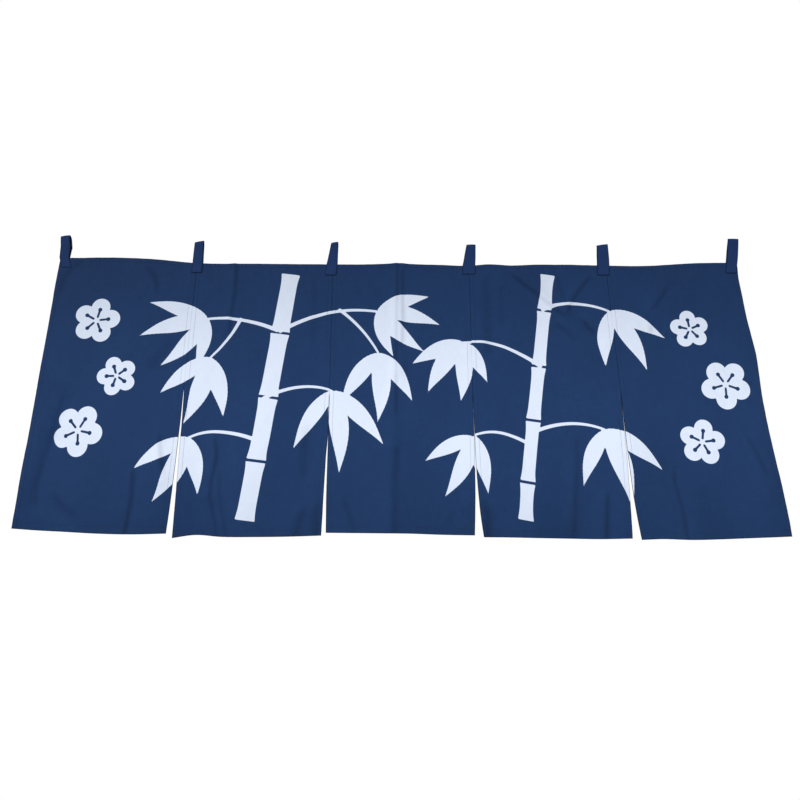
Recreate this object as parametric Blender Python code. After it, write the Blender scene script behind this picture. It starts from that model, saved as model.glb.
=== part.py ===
"""A noren curtain of five cotton widths that hangs by six loops, in metres, +Z up.

The origin is on the top edge, at the middle of the curtain. The front faces -Y, and +X is to the
right as seen from the front. The widths are sewn together down to the slits. Below those each one
hangs free, and soft waves grow towards its foot.
"""
from collections import namedtuple
import math

import bpy
import numpy as np

# The cloth and its hems
CLOTH = 0.0012
HEM = 0.0024
SIDE_HEM = 0.010
TOP_HEM = 0.012
FOOT_HEM = 0.014
HEM_STEP = 0.0012
GAP = 0.00032
SLIT_TOP = -0.328
FOOT_LEVEL = -0.660

# The net of points on each width
COLUMNS = 14
ROWS = 26

# The loops
TAB_CLOTH = 0.0018
TAB_SIDES = 3
LOOP_RADIUS = 0.0055
LOOP_STEPS = 12
LEG_STEPS = 3
TAB_CLEARANCE = 0.00056

# Colours, in linear light
NAVY = (0.0137, 0.0356, 0.1036, 1.0)
NAVY_TAB = (0.0119, 0.0309, 0.0912, 1.0)

# The seams: where each starts at the top edge and ends at its slit, and how far the two free sides
# draw apart at the foot. A power of 1 opens evenly, a higher one opens late. The sides stay closed
# down to a share of the slit, which is negative where they part from the slit's very top.
Seam = namedtuple("Seam", "top_x slit_x left_shift left_power right_shift right_power closed")
SEAMS = (
    Seam(-0.5100, -0.5110, -0.0071, 2.2, 0.0062, 0.55, -0.18),
    Seam(-0.1705, -0.1680, -0.0083, 1.3, 0.0018, 6.0, 0.30),
    Seam(0.1700, 0.1680, -0.0060, 3.5, 0.0130, 3.6, -0.18),
    Seam(0.5110, 0.5135, -0.0074, 2.0, 0.0115, 3.5, -0.18),
)
OPENING = 0.18

# The heights of the top edge, and the lines of the two outer sides
EdgePoint = namedtuple("EdgePoint", "x z")
TOP_EDGE = (
    EdgePoint(-0.8600, 0.0150), EdgePoint(-0.7000, 0.0141), EdgePoint(-0.6200, 0.0107),
    EdgePoint(-0.5100, 0.0006), EdgePoint(-0.3400, -0.0005), EdgePoint(-0.1700, -0.0034),
    EdgePoint(-0.0550, -0.0035), EdgePoint(-0.0080, -0.0021), EdgePoint(0.0400, -0.0044),
    EdgePoint(0.1100, -0.0059), EdgePoint(0.1700, -0.0075), EdgePoint(0.2150, -0.0036),
    EdgePoint(0.2850, -0.0060), EdgePoint(0.3350, -0.0032), EdgePoint(0.3900, -0.0036),
    EdgePoint(0.5110, -0.0074), EdgePoint(0.6150, -0.0090), EdgePoint(0.7350, -0.0016),
    EdgePoint(0.8600, 0.0004),
)
SidePoint = namedtuple("SidePoint", "z x")
LEFT_SIDE = (
    SidePoint(-0.680, -0.8535), SidePoint(-0.640, -0.8542), SidePoint(-0.560, -0.8557),
    SidePoint(-0.430, -0.8552), SidePoint(-0.330, -0.8561), SidePoint(-0.200, -0.8562),
    SidePoint(-0.080, -0.8560), SidePoint(0.020, -0.8548),
)
RIGHT_SIDE = (
    SidePoint(-0.680, 0.8514), SidePoint(-0.640, 0.8518), SidePoint(-0.560, 0.8500),
    SidePoint(-0.430, 0.8441), SidePoint(-0.340, 0.8434), SidePoint(-0.245, 0.8473),
    SidePoint(-0.140, 0.8402), SidePoint(-0.095, 0.8392), SidePoint(-0.064, 0.8380),
    SidePoint(-0.042, 0.8374), SidePoint(-0.020, 0.8388), SidePoint(0.020, 0.8420),
)

# The widths: the height of the foot at six places from left to right, the bow of the top edge
# between two loops, and how the free part swings, turns and curls away from the seamed part
Width = namedtuple("Width", "name foot bow swing turn curl")
WIDTHS = (
    Width("panel_1", (-0.6444, -0.6481, -0.6515, -0.6553, -0.6569, -0.6553), -0.0025, -0.0015, 0.0020, 0.0015),
    Width("panel_2", (-0.6648, -0.6585, -0.6623, -0.6626, -0.6618, -0.6596), 0.0020, 0.0012, -0.0018, -0.0012),
    Width("panel_3", (-0.6537, -0.6541, -0.6546, -0.6555, -0.6580, -0.6593), -0.0022, -0.0020, 0.0016, 0.0014),
    Width("panel_4", (-0.6632, -0.6635, -0.6648, -0.6663, -0.6674, -0.6661), 0.0024, 0.0016, 0.0022, -0.0015),
    Width("panel_5", (-0.6689, -0.6673, -0.6691, -0.6676, -0.6647, -0.6619), -0.0020, -0.0012, -0.0024, 0.0016),
)
FOOT_PLACES = (0.0, 0.14, 0.34, 0.56, 0.78, 1.0)
BOW_REACH = 0.22

# The waves that cross the whole curtain. They start below the top hem and are full at the foot.
Wave = namedtuple("Wave", "length height phase drift")
WAVES = (
    Wave(0.287, 0.0046, 0.6, 0.10),
    Wave(0.171, 0.0023, 2.3, -0.16),
)
WAVE_START = -0.030
WAVE_POWER = 1.3

# The main folds: a soft ridge or trough from one end to the other. A positive rise comes forward.
Fold = namedtuple("Fold", "x0 z0 x1 z1 rise half_width")
FOLDS = (
    Fold(-0.783, -0.355, -0.800, -0.450, -0.0034, 0.020),
    Fold(-0.800, -0.450, -0.820, -0.590, -0.0040, 0.022),
    Fold(-0.555, -0.415, -0.541, -0.536, 0.0026, 0.018),
    Fold(-0.605, -0.509, -0.608, -0.641, -0.0024, 0.018),
    Fold(-0.409, -0.012, -0.412, -0.162, 0.0024, 0.018),
    Fold(-0.422, -0.459, -0.428, -0.574, 0.0028, 0.020),
    Fold(-0.428, -0.574, -0.404, -0.640, 0.0026, 0.020),
    Fold(-0.221, -0.470, -0.217, -0.575, -0.0024, 0.020),
    Fold(-0.001, 0.000, -0.007, -0.280, 0.0030, 0.016),
    Fold(-0.007, -0.280, -0.023, -0.461, 0.0024, 0.018),
    Fold(-0.023, -0.461, -0.021, -0.640, 0.0028, 0.020),
    Fold(0.296, -0.039, 0.393, -0.131, 0.0026, 0.016),
    Fold(0.468, -0.052, 0.409, -0.115, 0.0026, 0.016),
    Fold(0.428, -0.149, 0.473, -0.206, -0.0022, 0.018),
    Fold(0.226, -0.100, 0.219, -0.237, -0.0024, 0.020),
    Fold(0.396, -0.496, 0.375, -0.640, 0.0028, 0.020),
    Fold(0.630, -0.077, 0.602, -0.139, 0.0024, 0.018),
    Fold(0.611, -0.520, 0.625, -0.640, -0.0030, 0.020),
    Fold(0.811, -0.450, 0.806, -0.580, 0.0026, 0.020),
)

# The loops: the left and right side where each leaves the top edge and at its crown, the height of
# its crown above the edge, how much higher the crown is on its right than on its left, how far the
# strip moves to the right for each metre back, the height where its sides start to lean, the length
# sewn down, and how far to the right the sewn ends run over that length
Tab = namedtuple("Tab", "name left right crown_left crown_right height slant skew lean_from sewn toe")
TABS = (
    Tab("tab_1", -0.8565, -0.8320, -0.8614, -0.8400, 0.0623, 0.0035, -0.20, 0.030, 0.027, 0.0100),
    Tab("tab_2", -0.5212, -0.4952, -0.5208, -0.4985, 0.0601, 0.0050, -0.25, 0.000, 0.027, -0.0010),
    Tab("tab_3", -0.1859, -0.1585, -0.1749, -0.1585, 0.0614, 0.0028, 0.00, 0.000, 0.030, -0.0030),
    Tab("tab_4", 0.1537, 0.1855, 0.1658, 0.1879, 0.0586, 0.0003, 0.00, 0.000, 0.024, -0.0010),
    Tab("tab_5", 0.4900, 0.5201, 0.4937, 0.5222, 0.0575, 0.0044, 0.40, 0.000, 0.027, -0.0030),
    Tab("tab_6", 0.8131, 0.8404, 0.8276, 0.8547, 0.0668, -0.0005, 0.62, 0.000, 0.029, -0.0070),
)


def smooth_line(points, at):
    """A soft curve through a table of points: cubic pieces whose slopes are those of the table."""
    knots, values = np.array(points).T
    slopes = np.gradient(values, knots)
    at = np.clip(at, knots[0], knots[-1])
    i = np.clip(np.searchsorted(knots, at) - 1, 0, len(knots) - 2)
    span = knots[i + 1] - knots[i]
    t = (at - knots[i]) / span
    start = values[i] * (1 + 2 * t) * (1 - t) ** 2 + slopes[i] * span * t * (1 - t) ** 2
    end = values[i + 1] * t * t * (3 - 2 * t) - slopes[i + 1] * span * t * t * (1 - t)
    return start + end


def run_down(start, z):
    """How far a height is below a starting one: 0 there and above it, and 1 at the foot."""
    return np.maximum((start - z) / (start - FOOT_LEVEL), 0.0)


def fold_depth(x, z):
    """Forward rise of the main folds: each fades away from its line as a bell curve."""
    rise = np.zeros_like(x)
    for fold in FOLDS:
        run_x, run_z = fold.x1 - fold.x0, fold.z1 - fold.z0
        along = ((x - fold.x0) * run_x + (z - fold.z0) * run_z) / (run_x ** 2 + run_z ** 2)
        along = np.clip(along, 0.0, 1.0)
        away = np.hypot(x - fold.x0 - along * run_x, z - fold.z0 - along * run_z)
        rise += fold.rise * np.exp(-(away / fold.half_width) ** 2)
    return rise


def wave_depth(x, z):
    """The waves across the curtain: sines in x that drift with z and grow from the top to the foot."""
    growth = run_down(WAVE_START, z) ** WAVE_POWER
    total = np.zeros_like(x)
    for wave in WAVES:
        total += wave.height * np.sin(2 * math.pi * (x + wave.drift * z) / wave.length + wave.phase)
    return growth * total


def front_face(width, across, x, z):
    """The y of a width's front face: waves, folds, the bow at the top and the swing below the slit."""
    bow = width.bow * np.sin(math.pi * across) ** 2 * np.exp(z / BOW_REACH)
    free = run_down(SLIT_TOP, z) ** WAVE_POWER
    swing = width.swing + width.turn * (2 * across - 1) + width.curl * np.cos(2 * math.pi * across)
    return wave_depth(x, z) + bow + free * swing - fold_depth(x, z)


def slit_share(seam, z):
    """How open a slit is, on top of its powers: 0 where it stays closed, then a soft step up to 1."""
    t = np.clip((run_down(SLIT_TOP, z) - seam.closed) / OPENING, 0.0, 1.0)
    return t * t * (3 - 2 * t)


def seam_line(seam, z):
    """The x of a seam, which runs straight from the top edge to its slit and on below it."""
    down = np.clip(z / SLIT_TOP, 0.0, 1.0)
    return seam.top_x + (seam.slit_x - seam.top_x) * down


def left_edge(index, z):
    """The x of a width's left side: the outer side, or the seam and then the slit's right side."""
    if index == 0:
        return smooth_line(LEFT_SIDE, z)
    seam = SEAMS[index - 1]
    opening = seam.right_shift * run_down(SLIT_TOP, z) ** seam.right_power
    return seam_line(seam, z) + GAP / 2 + opening * slit_share(seam, z)


def right_edge(index, z):
    """The x of a width's right side: the outer side, or the seam and then the slit's left side."""
    if index == len(SEAMS):
        return smooth_line(RIGHT_SIDE, z)
    seam = SEAMS[index]
    opening = seam.left_shift * run_down(SLIT_TOP, z) ** seam.left_power
    return seam_line(seam, z) - GAP / 2 + opening * slit_share(seam, z)


def net_lines(length, start_hem, end_hem, steps):
    """Distances along a side of the net: even steps, with a pair of lines where each hem ends."""
    inner = np.linspace(start_hem + HEM_STEP, length - end_hem - HEM_STEP, steps + 1)
    return np.concatenate([[0.0, start_hem], inner, [length - end_hem, length]])


def foot_height(width, across):
    """The z of the foot: a soft curve through the width's six heights."""
    return smooth_line(list(zip(FOOT_PLACES, width.foot)), across)


def sheet_mesh(name, front, back):
    """A closed sheet from two grids of points, with a wall around its rim."""
    rows, columns = front.shape[:2]
    size = rows * columns
    grid = np.arange(size).reshape(rows, columns)
    a, b, c, d = grid[:-1, :-1], grid[:-1, 1:], grid[1:, 1:], grid[1:, :-1]
    front_quads = np.stack([a, d, c, b], axis=-1).reshape(-1, 4)
    back_quads = np.stack([a, b, c, d], axis=-1).reshape(-1, 4) + size
    rim = np.concatenate([grid[0, :-1], grid[:-1, -1], grid[-1, :0:-1], grid[:0:-1, 0]])
    after = np.roll(rim, -1)
    walls = np.stack([rim, after, after + size, rim + size], axis=-1)
    quads = np.concatenate([front_quads, back_quads, walls])
    points = np.concatenate([front.reshape(-1, 3), back.reshape(-1, 3)])
    mesh = bpy.data.meshes.new(name)
    mesh.from_pydata(points.tolist(), [], quads.tolist())
    mesh.update()
    return mesh


def width_mesh(index):
    """One width: a net across and down it with a folded front face.

    The two outermost lines of the net on each side are its hem, which is thicker towards the back.
    """
    width = WIDTHS[index]
    cut_width = float(right_edge(index, 0.0) - left_edge(index, 0.0))
    drop = -width.foot[2]
    columns = net_lines(cut_width, SIDE_HEM, SIDE_HEM, COLUMNS)
    rows = net_lines(drop, TOP_HEM, FOOT_HEM, ROWS)
    across, down = np.meshgrid(columns / cut_width, rows / drop)
    top_x = left_edge(index, 0.0) * (1 - across) + right_edge(index, 0.0) * across
    top_z = smooth_line(TOP_EDGE, top_x)
    z = top_z * (1 - down) + foot_height(width, across) * down
    x = left_edge(index, z) * (1 - across) + right_edge(index, z) * across
    y = front_face(width, across, x, z)
    thickness = np.full(x.shape, HEM)
    thickness[2:-2, 2:-2] = CLOTH
    front = np.stack([x, y, z], axis=-1)
    back = np.stack([x, y + thickness, z], axis=-1)
    return sheet_mesh(width.name, front, back)


def loop_path(tab):
    """The strip's middle line in y and z above the edge: up the front, round the crown, down the back."""
    radius = LOOP_RADIUS + TAB_CLOTH / 2
    front_y = -TAB_CLEARANCE - TAB_CLOTH / 2
    back_y = HEM + TAB_CLEARANCE + TAB_CLOTH / 2
    centre_y = (front_y + back_y) / 2
    centre_z = tab.height - radius - TAB_CLOTH / 2
    reach = math.hypot(centre_y - front_y, centre_z)
    lean = math.atan2(centre_y - front_y, centre_z)
    tangent = math.pi / 2 - math.acos(radius / reach) + lean
    turn = np.linspace(math.pi + tangent, -tangent, LOOP_STEPS + 1)
    crown = np.stack([centre_y + radius * np.cos(turn), centre_z + radius * np.sin(turn)], axis=-1)
    front_leg = np.stack([np.full(LEG_STEPS, front_y), np.linspace(-tab.sewn, 0.0, LEG_STEPS)], axis=-1)
    back_leg = np.stack([np.full(LEG_STEPS, back_y), np.linspace(0.0, -tab.sewn, LEG_STEPS)], axis=-1)
    return np.concatenate([front_leg, crown, back_leg])


def tab_mesh(tab):
    """One loop: its middle line given a thickness, and carried across between its leaning sides."""
    path = loop_path(tab)
    along = np.gradient(path, axis=0)
    along /= np.linalg.norm(along, axis=1, keepdims=True)
    outward = np.stack([-along[:, 1], along[:, 0]], axis=-1)
    lean = np.clip((path[:, 1] - tab.lean_from) / (tab.height - tab.lean_from), 0.0, 1.0)
    shift = tab.skew * (path[:, 0] - HEM / 2) * lean + tab.toe * np.clip(-path[:, 1] / tab.sewn, 0.0, 1.0)
    left = tab.left + (tab.crown_left - tab.left) * lean + shift
    right = tab.right + (tab.crown_right - tab.right) * lean + shift
    across = np.linspace(0.0, 1.0, TAB_SIDES)
    x = left[:, None] * (1 - across) + right[:, None] * across
    edge_z = smooth_line(TOP_EDGE, (tab.left + tab.right) / 2)
    rise = np.maximum(lean, 0.0)[:, None] * tab.slant * (across - 0.5)
    faces = []
    for side in (-1, 1):
        line = path + outward * side * TAB_CLOTH / 2
        y = np.repeat(line[:, :1], TAB_SIDES, axis=1)
        z = line[:, 1:] + rise + edge_z
        faces.append(np.stack([x, y, z], axis=-1))
    return sheet_mesh(tab.name, faces[0], faces[1])


def cloth_material(name, colour):
    """A matte cotton material of one colour."""
    material = bpy.data.materials.new(name)
    material.use_nodes = True
    shader = material.node_tree.nodes["Principled BSDF"]
    shader.inputs["Base Color"].default_value = colour
    shader.inputs["Roughness"].default_value = 0.9
    shader.inputs["Metallic"].default_value = 0.0
    material.diffuse_color = colour
    return material


def add_piece(mesh, colour):
    """Puts a mesh into the scene as a named object with its own material."""
    mesh.materials.append(cloth_material(mesh.name + "_cotton", colour))
    bpy.context.scene.collection.objects.link(bpy.data.objects.new(mesh.name, mesh))


def main():
    for old in list(bpy.data.objects):
        bpy.data.objects.remove(old, do_unlink=True)
    for index in range(len(WIDTHS)):
        add_piece(width_mesh(index), NAVY)
    for tab in TABS:
        add_piece(tab_mesh(tab), NAVY_TAB)


main()
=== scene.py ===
"""The looks of a noren curtain: five navy cotton widths that hang by six loops.

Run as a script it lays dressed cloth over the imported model. The front faces -Y, +Z is up, and the
origin is on the top edge at the middle of the curtain. All sizes are in metres.
"""
from collections import namedtuple
import math

import bpy
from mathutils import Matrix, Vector
import numpy as np


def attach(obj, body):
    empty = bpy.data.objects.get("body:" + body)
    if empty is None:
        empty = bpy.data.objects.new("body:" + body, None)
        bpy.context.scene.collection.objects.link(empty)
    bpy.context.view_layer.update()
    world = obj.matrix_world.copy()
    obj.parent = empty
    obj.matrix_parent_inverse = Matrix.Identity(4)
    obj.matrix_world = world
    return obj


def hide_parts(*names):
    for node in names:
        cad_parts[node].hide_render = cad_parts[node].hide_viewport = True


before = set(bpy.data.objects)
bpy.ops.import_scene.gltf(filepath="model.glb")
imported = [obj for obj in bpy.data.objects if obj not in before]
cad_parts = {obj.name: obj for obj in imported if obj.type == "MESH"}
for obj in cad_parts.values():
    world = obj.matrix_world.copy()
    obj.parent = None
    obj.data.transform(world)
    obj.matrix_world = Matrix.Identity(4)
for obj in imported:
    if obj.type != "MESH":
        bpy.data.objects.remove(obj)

bl_info = {
    "name": "Noren Curtain",
    "version": (1, 0, 0),
    "blender": (4, 5, 0),
    "location": "View3D > Sidebar > Noren",
    "description": "Dresses a noren curtain: widths, loops, stitching and a plain stage",
    "category": "Add Mesh",
}

# The seams: where each starts at the top edge and ends at its slit, and how far the two free sides
# draw apart at the foot. A power of 1 opens evenly, a higher one opens late. The sides stay closed
# down to a share of the slit, which is negative where they part from the slit's very top, and reach
# their full opening another share further down.
Seam = namedtuple("Seam", "top_x slit_x left_shift left_power right_shift right_power closed")
SEAMS = (
    Seam(-0.5100, -0.5110, -0.0071, 2.2, 0.0062, 0.55, -0.18),
    Seam(-0.1705, -0.1680, -0.0083, 1.3, 0.0018, 6.0, 0.30),
    Seam(0.1700, 0.1680, -0.0060, 3.5, 0.0130, 3.6, -0.18),
    Seam(0.5110, 0.5135, -0.0074, 2.0, 0.0115, 3.5, -0.18),
)
OPENING = 0.18
SLIT_TOP = -0.328
FOOT_LEVEL = -0.660

# The line of the top edge, as pairs of x and z, and of the two outer sides, as pairs of z and x
TOP_EDGE = (
    (-0.8600, 0.0150), (-0.7000, 0.0141), (-0.6200, 0.0107),
    (-0.5100, 0.0006), (-0.3400, -0.0005), (-0.1700, -0.0034),
    (-0.0550, -0.0035), (-0.0080, -0.0021), (0.0400, -0.0044),
    (0.1100, -0.0059), (0.1700, -0.0075), (0.2150, -0.0036),
    (0.2850, -0.0060), (0.3350, -0.0032), (0.3900, -0.0036),
    (0.5110, -0.0074), (0.6150, -0.0090), (0.7350, -0.0016),
    (0.8600, 0.0004),
)
LEFT_SIDE = (
    (-0.680, -0.8535), (-0.640, -0.8542), (-0.560, -0.8557),
    (-0.430, -0.8552), (-0.330, -0.8561), (-0.200, -0.8562),
    (-0.080, -0.8560), (0.020, -0.8548),
)
RIGHT_SIDE = (
    (-0.680, 0.8514), (-0.640, 0.8518), (-0.560, 0.8500),
    (-0.430, 0.8441), (-0.340, 0.8434), (-0.245, 0.8473),
    (-0.140, 0.8402), (-0.095, 0.8392), (-0.064, 0.8380),
    (-0.042, 0.8374), (-0.020, 0.8388), (0.020, 0.8420),
)

# The widths: the height of the foot at six places from left to right, the bow of the top edge
# between two loops, and how the free part swings, turns and curls away from the seamed part. The
# bow fades over its reach below the edge. Each width is cut with its hems and laid out side by side.
Width = namedtuple("Width", "name node foot bow swing turn curl")
WIDTHS = (
    Width("width_1", "panel_1", (-0.6444, -0.6481, -0.6515, -0.6553, -0.6569, -0.6553),
          -0.0025, -0.0015, 0.0020, 0.0015),
    Width("width_2", "panel_2", (-0.6648, -0.6585, -0.6623, -0.6626, -0.6618, -0.6596),
          0.0020, 0.0012, -0.0018, -0.0012),
    Width("width_3", "panel_3", (-0.6537, -0.6541, -0.6546, -0.6555, -0.6580, -0.6593),
          -0.0022, -0.0020, 0.0016, 0.0014),
    Width("width_4", "panel_4", (-0.6632, -0.6635, -0.6648, -0.6663, -0.6674, -0.6661),
          0.0024, 0.0016, 0.0022, -0.0015),
    Width("width_5", "panel_5", (-0.6689, -0.6673, -0.6691, -0.6676, -0.6647, -0.6619),
          -0.0020, -0.0012, -0.0024, 0.0016),
)
FOOT_PLACES = (0.0, 0.14, 0.34, 0.56, 0.78, 1.0)
BOW_REACH = 0.22
FLAT_WIDTH = 0.340
FLAT_LEFT = -0.850

# The waves that cross the whole curtain. They start below the top hem and are full at the foot.
Wave = namedtuple("Wave", "length height phase drift")
WAVES = (
    Wave(0.287, 0.0046, 0.6, 0.10),
    Wave(0.171, 0.0023, 2.3, -0.16),
)
WAVE_START = -0.030
WAVE_POWER = 1.3

# The main folds: a soft ridge or trough from one end to the other. A positive rise comes forward.
Fold = namedtuple("Fold", "x0 z0 x1 z1 rise half_width")
FOLDS = (
    Fold(-0.783, -0.355, -0.800, -0.450, -0.0034, 0.020),
    Fold(-0.800, -0.450, -0.820, -0.590, -0.0040, 0.022),
    Fold(-0.555, -0.415, -0.541, -0.536, 0.0026, 0.018),
    Fold(-0.605, -0.509, -0.608, -0.641, -0.0024, 0.018),
    Fold(-0.409, -0.012, -0.412, -0.162, 0.0024, 0.018),
    Fold(-0.422, -0.459, -0.428, -0.574, 0.0028, 0.020),
    Fold(-0.428, -0.574, -0.404, -0.640, 0.0026, 0.020),
    Fold(-0.221, -0.470, -0.217, -0.575, -0.0024, 0.020),
    Fold(-0.001, 0.000, -0.007, -0.280, 0.0030, 0.016),
    Fold(-0.007, -0.280, -0.023, -0.461, 0.0024, 0.018),
    Fold(-0.023, -0.461, -0.021, -0.640, 0.0028, 0.020),
    Fold(0.296, -0.039, 0.393, -0.131, 0.0026, 0.016),
    Fold(0.468, -0.052, 0.409, -0.115, 0.0026, 0.016),
    Fold(0.428, -0.149, 0.473, -0.206, -0.0022, 0.018),
    Fold(0.226, -0.100, 0.219, -0.237, -0.0024, 0.020),
    Fold(0.396, -0.496, 0.375, -0.640, 0.0028, 0.020),
    Fold(0.630, -0.077, 0.602, -0.139, 0.0024, 0.018),
    Fold(0.611, -0.520, 0.625, -0.640, -0.0030, 0.020),
    Fold(0.811, -0.450, 0.806, -0.580, 0.0026, 0.020),
)

# The creases, which are narrower than the folds: a line of points from one end to the other, how far
# the cloth drops across it, over what width, and how much shade is painted along its middle, up to 1.
# With a positive drop the cloth to the left of the run is the higher one. A width behind it takes the drop
# back.
Crease = namedtuple("Crease", "line drop width dark")
CREASES = (
    Crease(((-0.791, -0.326), (-0.800, -0.377), (-0.818, -0.493), (-0.824, -0.565), (-0.818, -0.589),
            (-0.795, -0.628)), 0.0034, 0.0043, 0.00),
    Crease(((-0.610, -0.502), (-0.604, -0.538), (-0.602, -0.572), (-0.605, -0.643), (-0.606, -0.692)),
           0.0046, 0.0048, 0.62),
    Crease(((-0.556, -0.426), (-0.549, -0.471), (-0.541, -0.502), (-0.533, -0.532)), 0.0038, 0.0048, 0.76),
    Crease(((-0.650, -0.008), (-0.628, -0.019), (-0.612, -0.036), (-0.604, -0.060), (-0.602, -0.088)),
           0.0023, 0.0054, 0.48),
    Crease(((-0.608, -0.292), (-0.586, -0.257), (-0.564, -0.222), (-0.538, -0.194)), -0.0046, 0.0109, 0.20),
    Crease(((-0.793, 0.016), (-0.815, -0.008), (-0.836, -0.034), (-0.843, -0.078), (-0.845, -0.100)),
           0.0023, 0.0062, 0.36),
    Crease(((-0.790, -0.552), (-0.775, -0.576), (-0.744, -0.602), (-0.705, -0.624)), -0.0029, 0.0078, 0.39),
    Crease(((-0.411, 0.024), (-0.411, -0.008), (-0.409, -0.079), (-0.414, -0.147), (-0.415, -0.202)),
           0.0046, 0.0040, 0.27),
    Crease(((-0.428, -0.426), (-0.420, -0.484), (-0.428, -0.543), (-0.428, -0.576), (-0.421, -0.600),
            (-0.410, -0.639), (-0.402, -0.672)), 0.0053, 0.0043, 0.43),
    Crease(((-0.415, -0.507), (-0.407, -0.561), (-0.399, -0.604), (-0.387, -0.648), (-0.380, -0.690)),
           0.0038, 0.0043, 0.28),
    Crease(((-0.221, -0.398), (-0.221, -0.448), (-0.223, -0.545)), 0.0038, 0.0093, 0.30),
    Crease(((-0.212, -0.585), (-0.220, -0.613), (-0.231, -0.652), (-0.240, -0.692)), 0.0038, 0.0078, 0.36),
    Crease(((-0.192, -0.582), (-0.188, -0.662), (-0.187, -0.700)), 0.0061, 0.0093, 0.32),
    Crease(((-0.215, -0.033), (-0.212, -0.230)), 0.0023, 0.0062, 0.10),
    Crease(((-0.009, 0.024), (-0.009, -0.004), (-0.010, -0.100), (-0.012, -0.205), (-0.012, -0.401)),
           0.0034, 0.0037, 0.54),
    Crease(((0.003, -0.004), (0.003, -0.074), (0.004, -0.153), (0.002, -0.235)), 0.0046, 0.0040, 0.15),
    Crease(((-0.010, -0.450), (-0.015, -0.539), (-0.016, -0.648), (-0.017, -0.690)), 0.0046, 0.0070, 0.19),
    Crease(((-0.135, -0.570), (-0.123, -0.596), (-0.104, -0.641), (-0.095, -0.664)), 0.0023, 0.0047, 0.40),
    Crease(((0.110, -0.600), (0.108, -0.643)), 0.0023, 0.0047, 0.30),
    Crease(((0.212, -0.020), (0.206, -0.101), (0.208, -0.205), (0.210, -0.250)), 0.0046, 0.0124, 0.15),
    Crease(((0.247, -0.050), (0.242, -0.179)), 0.0034, 0.0062, 0.15),
    Crease(((0.261, -0.016), (0.300, -0.054), (0.352, -0.101), (0.397, -0.142), (0.403, -0.158)),
           -0.0076, 0.0048, 0.59),
    Crease(((0.477, -0.028), (0.436, -0.078), (0.419, -0.103), (0.399, -0.145)), 0.0046, 0.0048, 0.53),
    Crease(((0.383, -0.022), (0.391, -0.055), (0.405, -0.124)), 0.0029, 0.0047, 0.19),
    Crease(((0.362, -0.151), (0.401, -0.182), (0.424, -0.218)), -0.0046, 0.0053, 0.47),
    Crease(((0.430, -0.140), (0.461, -0.181), (0.471, -0.205)), -0.0053, 0.0048, 0.78),
    Crease(((0.405, -0.425), (0.399, -0.510), (0.390, -0.583), (0.382, -0.648), (0.378, -0.690)),
           0.0029, 0.0053, 0.24),
    Crease(((0.463, -0.555), (0.452, -0.652), (0.449, -0.692)), 0.0042, 0.0055, 0.61),
    Crease(((0.184, -0.575), (0.190, -0.616), (0.190, -0.664), (0.190, -0.705)), -0.0084, 0.0085, 0.90),
    Crease(((0.670, -0.050), (0.648, -0.080), (0.627, -0.109), (0.597, -0.142)), 0.0046, 0.0050, 0.00),
    Crease(((0.610, -0.151), (0.599, -0.200)), 0.0023, 0.0055, 1.00),
    Crease(((0.618, -0.500), (0.617, -0.546), (0.625, -0.601), (0.627, -0.658), (0.630, -0.692)),
           0.0046, 0.0043, 0.36),
    Crease(((0.786, -0.430), (0.803, -0.476), (0.820, -0.538)), 0.0034, 0.0050, 0.44),
    Crease(((0.795, -0.315), (0.837, -0.315)), -0.0029, 0.0093, 0.54),
    Crease(((-0.527, -0.665), (-0.497, -0.660), (-0.412, -0.645), (-0.390, -0.641)), 0.0006, 0.0030, 0.34),
)
# How much wider the slope that takes a crease's drop back is, and over what length its ends fade
CREASE_TAIL = 5.0
CREASE_FADE = 0.030

# The crumple of the cloth: how many crossing lines it has, and their lengths. Then the puckers of a
# stitched line, how far a hem stands proud, the groove that the stitches draw in, and the smooth
# patch under a loop's sewn end.
CRUMPLE_LINES = 26
CRUMPLE_LENGTH = 0.020
CRUMPLE_SPREAD = 7.0
PUCKER_LENGTH = 0.017
PUCKER_REACH = 0.0075
HEM_PROUD = 0.00012
GROOVE_DEPTH = 0.00020
GROOVE_HALF_WIDTH = 0.00055
CALM_HALF_WIDTH = 0.024
CALM_FOOT = -0.056
CALM_TOP = -0.036

# The painted shade: how dark a free rim is painted for the shadow of the hem's edge and how far that
# reaches, how much further off a sewn seam counts, how much a stitch groove's painted shade counts beside
# a crease's, and how dark both make the navy and the white. The last is how much of the print shows on the
# back.
RIM_SHADE = 0.34
RIM_REACH = 0.0026
SEAM_SHADE_OFFSET = 0.0010
STITCH_SHADE = 0.45
NAVY_SHADE = 0.62
WHITE_SHADE = 0.84
BACK_PRINT = 0.84

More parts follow.
